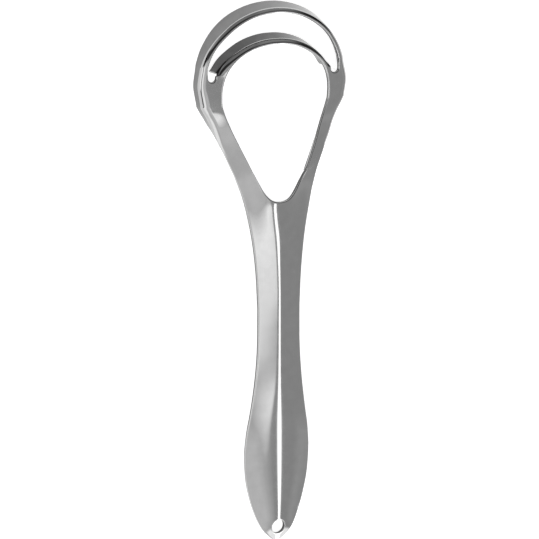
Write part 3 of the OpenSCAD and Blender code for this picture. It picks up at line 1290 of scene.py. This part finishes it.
@dataclass(frozen=True)
class Room:
    """The pale studio round the object, by the parts of the direction in which one looks."""

    across: Rows = (
        (-1.0, 2.3), (-0.94, 2.3), (-0.9, 0.25), (-0.85, 0.25), (-0.8, 2.2), (-0.54, 2.2), (-0.44, 1.3),
        (-0.3, 1.1), (-0.1, 1.28), (0.05, 1.28), (0.12, 1.18), (0.2, 1.02), (0.27, 0.86), (0.33, 0.7),
        (0.38, 0.66), (0.46, 0.66), (0.53, 0.64), (0.64, 0.64), (0.76, 0.76), (0.85, 0.68), (1.0, 0.6))
    front: Rows = (
        (-1.0, 1.0), (0.02, 1.0), (0.12, 0.6), (0.26, 0.04), (0.58, 0.04), (0.68, 0.3), (1.0, 0.34))
    rear: Rows = ((-1.0, 1.6), (-0.62, 1.6), (-0.52, 0.0), (1.0, 0.0))
    wedge: Rows = ((-1.0, 0.0), (0.15, 0.0), (0.28, 1.0), (0.6, 1.0), (0.75, 0.0), (1.0, 0.0))
    window: Rows = ((-1.0, 0.0), (0.15, 0.0), (0.35, 0.3), (0.6, 0.3), (0.75, 0.0), (1.0, 0.0))
    ahead: Rows = ((-1.0, 0.0), (0.3, 0.0), (0.5, 1.0), (1.0, 1.0))
    strip_x: Pair = (0.422, 0.468)
    strip_y: Pair = (-0.22, -0.17)
    strip_soft: float = 0.02
    strip_margin: float = 0.06
    strip_level: float = 3.0

    def strip(self, graph: Graph, x: Source, y: Source) -> bpy.types.NodeSocket:
        """Level of the narrow bright strip.

        Args:
            graph: the world's nodes.
            x: the direction's part across the sheet.
            y: its part along the sheet.

        Returns:
            The socket with the level, from 0 to 1.
        """
        left, right = self.strip_x
        rows = ((left - self.strip_soft, 0), (left, 1), (right, 1), (right + self.strip_soft, 0))
        near = graph.ramp(x, rows, (left - self.strip_margin, right + self.strip_margin))
        far = graph.ramp(y, ((self.strip_y[0], 1), (self.strip_y[1], 0)))
        return graph.maths("MULTIPLY", near, far)

    def build(self) -> None:
        """Give the world its light, white for the camera's own rays."""
        world = bpy.data.worlds.new("studio")
        bpy.context.scene.world = world
        world.use_nodes = True
        world.node_tree.nodes.clear()
        graph = Graph(world.node_tree)
        place = graph.put("TexCoord").outputs["Generated"]
        way = graph.put("SeparateXYZ", {"Vector": place}).outputs
        x, y = way["X"], way["Y"]
        level = 0.0
        lights = ((self.across, self.front), (self.wedge, self.rear), (self.window, self.ahead))
        for rows_x, rows_y in lights:
            level = graph.maths("MULTIPLY_ADD", graph.ramp(x, rows_x), graph.ramp(y, rows_y), level)
        level = graph.maths("MULTIPLY_ADD", self.strip(graph, x, y), self.strip_level, level)
        camera = graph.put("LightPath").outputs["Is Camera Ray"]
        shade = graph.put("Mix", {"Factor": camera, "A": level, "B": 1.0})
        light = graph.put("Background", {"Strength": shade.outputs["Result"]})
        graph.put("OutputWorld", {"Surface": light.outputs["Background"]})


@dataclass(frozen=True)
class Card:
    """A soft panel that hangs over the object and shows in one stretch of the polish."""

    name: str
    place: Place
    size: Pair
    level: float

    def build(self) -> bpy.types.Object:
        """Hang the panel so that it faces down.

        Returns:
            The lamp.
        """
        lamp = bpy.data.lights.new(self.name, "AREA")
        lamp.shape = "ELLIPSE"
        lamp.size, lamp.size_y = (side * MM for side in self.size)
        lamp.energy = self.level * math.pi * math.pi / 4 * lamp.size * lamp.size_y
        panel = placed(self.name, lamp)
        panel.location = Vector(self.place) * MM
        return panel


@dataclass(frozen=True)
class WaistLight:
    """Panels inside each other, which light the waist's left side with a soft border."""

    count: int = 6
    level: float = 1.1
    inmost_place: Place = (122.0, -124.0, 400.0)
    outmost_place: Place = (98.0, -131.0, 410.0)
    inmost_size: Pair = (70.0, 104.0)
    outmost_size: Pair = (136.0, 168.0)

    def cards(self) -> Iterator[Card]:
        """Share the light among the panels.

        Returns:
            The panels, the smallest and lowest first.
        """
        for step, share in enumerate(np.linspace(0, 1, self.count), 1):
            place = tuple(mix(a, b, share) for a, b in zip(self.inmost_place, self.outmost_place))
            size = tuple(mix(a, b, share) for a, b in zip(self.inmost_size, self.outmost_size))
            yield Card(f"waist_card_{step}", place, size, self.level / self.count)


@dataclass(frozen=True)
class Photographer:
    """The camera of the photograph: where it stands and how it is turned."""

    around: float = 27.8
    over: float = 12.7
    roll: float = -0.78
    distance: float = 600.0
    target: Place = (-2.07, 2.81, 2.92)
    focal: float = 148.3
    sensor: float = 36.0
    clip_start: float = 0.01

    def build(self) -> bpy.types.Object:
        """Place the camera and make it the scene's own.

        Returns:
            The camera.
        """
        a, e, p = (math.radians(v) for v in (self.around, self.over, self.roll))
        right = Vector((math.cos(a), 0, math.sin(a)))
        up = Vector((math.sin(e) * math.sin(a), math.cos(e), -math.sin(e) * math.cos(a)))
        back = right.cross(up)
        side = right * math.cos(p) + up * math.sin(p)
        top = up * math.cos(p) - right * math.sin(p)
        data = bpy.data.cameras.new("photo_camera")
        data.lens = self.focal
        data.sensor_width = self.sensor
        data.clip_start = self.clip_start
        camera = placed("photo_camera", data)
        turn = Matrix((side, top, back)).transposed().to_4x4()
        camera.matrix_world = Matrix.Translation((Vector(self.target) + back * self.distance) * MM) @ turn
        bpy.context.scene.camera = camera
        return camera


@dataclass
class Scraper:
    """The whole scraper as the one stamping that it is."""

    sheet: Sheet = field(default_factory=Sheet)
    polish: Steel = Steel()
    # The cut walls' rougher grain is the sheared edge's own; their near-black base colour is painted shade
    # for the walls of the holes, the slot and the outline.
    cut: Steel = Steel("cut_steel_edge_and_shade", base=0.08, spread=0.015, roughness=0.3)
    # The lips' darker base colour is painted shade, standing for the shadowed floor that their faces
    # mirror.
    lip: Steel = Steel("lip_steel_painted_shade", base=0.18, spread=0.01, roughness=0.12)
    # The inner blade's near-black base colour is painted shade, standing for the dark underside of the
    # outer blade and the shaded slot that its face mirrors.
    inner_lip: Steel = Steel("inner_lip_painted_shade", base=0.075, spread=0.008, roughness=0.16)
    # The arms' lips carry the same painted shade, which fades in from the polish's tone towards the head.
    lip_end: Steel = Steel("lip_end_painted_shade", base=0.18, spread=0.01, roughness=0.1, run_out=RunOut())

    def build(self) -> bpy.types.Object:
        """Make the skin of the sheet, give it its finish and the painted shade of its lips and cut walls,
        and let it ride on its body.

        Returns:
            The finished piece.
        """
        layout = Layout(self.sheet)
        handle = Handle(self.sheet, layout)
        finishes_and_shades = (self.polish, self.cut, self.lip, self.inner_lip, self.lip_end)
        skin = Skin([finish.material() for finish in finishes_and_shades], handle.hole_y(), handle.hole_d / 2)
        neck = Neck(self.sheet, layout, handle)
        arms = Arms(self.sheet, layout, neck)
        for part in (handle, neck, arms, Cheeks(self.sheet, layout), Blades(self.sheet, layout)):
            part.build(skin)
            LOG.info("%s: added", type(part).__name__)
        piece = skin.build("scraper")
        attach(piece, "root")
        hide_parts(*(node.value for node in Node))
        return piece


def main() -> None:
    """Build the scraper, its floor, its light and its camera, and report each of them."""
    logging.basicConfig(level=logging.INFO, format="%(message)s")
    piece = Scraper().build()
    LOG.info("scraper: %d faces", len(piece.data.polygons))
    PaperFloor().build()
    LOG.info("floor: laid")
    Room().build()
    LOG.info("room: lit")
    for card in WaistLight().cards():
        card.build()
        LOG.info("%s: hung", card.name)
    Photographer().build()
    LOG.info("camera: placed")
    bpy.context.scene.view_settings.view_transform = "Standard"


if __name__ == "__main__":
    main()
